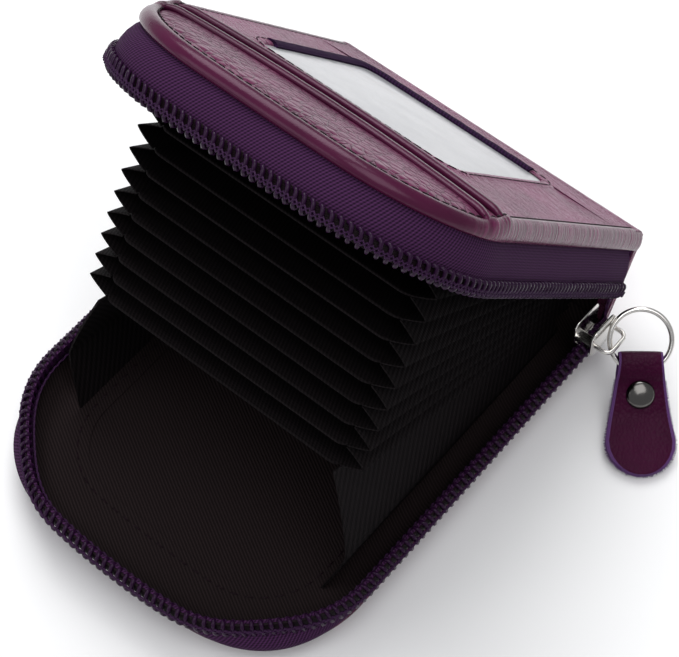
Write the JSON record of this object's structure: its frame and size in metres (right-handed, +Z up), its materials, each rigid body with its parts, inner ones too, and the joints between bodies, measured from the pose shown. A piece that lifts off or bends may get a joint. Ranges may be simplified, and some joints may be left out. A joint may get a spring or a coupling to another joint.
{
  "type": "zip-round accordion card case",
  "caption": "Small leather card case with a zip round three sides, fanned accordion card pockets, a cash compartment and an outside window.",
  "frame": {"origin": "middle of the base face, under the back cover, on the surface that the case lies on", "axes": "+X across the case, +Y from the mouth towards the spine, +Z up"},
  "size_m": [0.1077, 0.1171, 0.1031],
  "materials": {
    "pebbled_leather": "pebbled, semi-gloss",
    "smooth_leather": "fine grain, semi-gloss",
    "rim_leather": "smooth, glossy",
    "pull_leather": "satin, raw edges",
    "zip_tape": "woven",
    "zip_coil": "satin nylon",
    "binding_tape": "woven",
    "twill_lining": "fine twill",
    "accordion_cloth": "smooth cloth",
    "board": "matt",
    "clear_film": "clear, glossy",
    "nickel": "polished nickel"
  },
  "bodies": {
    "back_case": {"back_cover_leather": "pebbled_leather", "back_cover_board": "board", "back_lining": "twill_lining", "back_rim": "rim_leather", "back_zip_tape": "zip_tape", "back_zip_coil": "zip_coil", "left_cash_web": "accordion_cloth", "right_cash_web": "accordion_cloth"},
    "spine": {"spine_leather": "smooth_leather", "spine_lining": "twill_lining", "accordion_strip": "accordion_cloth", "leaf_01": "accordion_cloth", "left_pleats": "accordion_cloth", "right_pleats": "accordion_cloth"},
    "leaf_02": {"leaf_02": "accordion_cloth"},
    "leaf_03": {"leaf_03": "accordion_cloth"},
    "leaf_04": {"leaf_04": "accordion_cloth"},
    "leaf_05": {"leaf_05": "accordion_cloth"},
    "leaf_06": {"leaf_06": "accordion_cloth"},
    "leaf_07": {"leaf_07": "accordion_cloth"},
    "leaf_08": {"leaf_08": "accordion_cloth"},
    "leaf_09": {"leaf_09": "accordion_cloth"},
    "leaf_10": {"leaf_10": "accordion_cloth"},
    "leaf_11": {"leaf_11": "accordion_cloth"},
    "front_case": {"front_cover_leather": "pebbled_leather", "front_cover_board": "board", "front_lining": "twill_lining", "front_rim": "rim_leather", "front_zip_tape": "zip_tape", "front_zip_coil": "zip_coil", "slip_pocket_1": "smooth_leather", "slip_pocket_2": "smooth_leather", "window_film": "clear_film", "window_binding": "binding_tape"},
    "slider": {"slider_body": "nickel", "slider_arch": "nickel"},
    "ring": {"pull_ring": "nickel"},
    "strap": {"pull_strap": "pull_leather", "pull_rivet": "nickel"}
  },
  "joints": [
    {"name": "cover_fold", "type": "hinge", "parent": "spine", "child": "front_case", "pos_m": [0, 0.06046, 0.02348], "axis": [-1, 0, 0], "range_deg": [-27, 18], "deforming": ["left_pleats", "right_pleats"]},
    {"name": "spine_fold", "type": "hinge", "parent": "back_case", "child": "spine", "pos_m": [0, 0.051, 0.0012], "axis": [-1, 0, 0], "range_deg": [-23.01, 15.34], "deforming": ["left_cash_web", "right_cash_web"]},
    {"name": "leaf_02_fold", "type": "hinge", "parent": "spine", "child": "leaf_02", "pos_m": [0, 0.05145, 0.00738], "axis": [-1, 0, 0], "range_deg": [-2.41, 1.61]},
    {"name": "leaf_03_fold", "type": "hinge", "parent": "spine", "child": "leaf_03", "pos_m": [0, 0.05206, 0.00881], "axis": [-1, 0, 0], "range_deg": [-4.81, 3.21]},
    {"name": "leaf_04_fold", "type": "hinge", "parent": "spine", "child": "leaf_04", "pos_m": [0, 0.05267, 0.01025], "axis": [-1, 0, 0], "range_deg": [-7.21, 4.81]},
    {"name": "leaf_05_fold", "type": "hinge", "parent": "spine", "child": "leaf_05", "pos_m": [0, 0.05328, 0.01168], "axis": [-1, 0, 0], "range_deg": [-9.61, 6.41]},
    {"name": "leaf_06_fold", "type": "hinge", "parent": "spine", "child": "leaf_06", "pos_m": [0, 0.05389, 0.01312], "axis": [-1, 0, 0], "range_deg": [-12.01, 8.01]},
    {"name": "leaf_07_fold", "type": "hinge", "parent": "spine", "child": "leaf_07", "pos_m": [0, 0.0545, 0.01456], "axis": [-1, 0, 0], "range_deg": [-14.41, 9.61]},
    {"name": "leaf_08_fold", "type": "hinge", "parent": "spine", "child": "leaf_08", "pos_m": [0, 0.05511, 0.01599], "axis": [-1, 0, 0], "range_deg": [-16.81, 11.21]},
    {"name": "leaf_09_fold", "type": "hinge", "parent": "spine", "child": "leaf_09", "pos_m": [0, 0.05572, 0.01743], "axis": [-1, 0, 0], "range_deg": [-19.21, 12.81]},
    {"name": "leaf_10_fold", "type": "hinge", "parent": "spine", "child": "leaf_10", "pos_m": [0, 0.05633, 0.01886], "axis": [-1, 0, 0], "range_deg": [-21.61, 14.41]},
    {"name": "leaf_11_fold", "type": "hinge", "parent": "spine", "child": "leaf_11", "pos_m": [0, 0.05693, 0.0203], "axis": [-1, 0, 0], "range_deg": [-24.01, 16.01]},
    {"name": "slider_run", "type": "slide", "parent": "back_case", "child": "slider", "axis": [0, -1, 0], "range_m": [0, 0.06]},
    {"name": "ring_swing", "type": "hinge", "parent": "slider", "child": "ring", "pos_m": [0.0439, 0.0443, 0.0133], "axis": [0.4959, -0.6124, -0.6157], "range_deg": [-3, 35]},
    {"name": "strap_swing", "type": "hinge", "parent": "ring", "child": "strap", "pos_m": [0.05147, 0.0448, 0.00988], "axis": [0.7771, 0.6293, 0], "range_deg": [-8, 2]}
  ],
  "couplings": [
    {"joint": "spine_fold", "follows": "cover_fold", "ratio": 0.85185},
    {"joint": "leaf_02_fold", "follows": "cover_fold", "ratio": 0.088889},
    {"joint": "leaf_03_fold", "follows": "cover_fold", "ratio": 0.17778},
    {"joint": "leaf_04_fold", "follows": "cover_fold", "ratio": 0.26667},
    {"joint": "leaf_05_fold", "follows": "cover_fold", "ratio": 0.35556},
    {"joint": "leaf_06_fold", "follows": "cover_fold", "ratio": 0.44444},
    {"joint": "leaf_07_fold", "follows": "cover_fold", "ratio": 0.53333},
    {"joint": "leaf_08_fold", "follows": "cover_fold", "ratio": 0.62222},
    {"joint": "leaf_09_fold", "follows": "cover_fold", "ratio": 0.71111},
    {"joint": "leaf_10_fold", "follows": "cover_fold", "ratio": 0.8},
    {"joint": "leaf_11_fold", "follows": "cover_fold", "ratio": 0.88889}
  ]
}
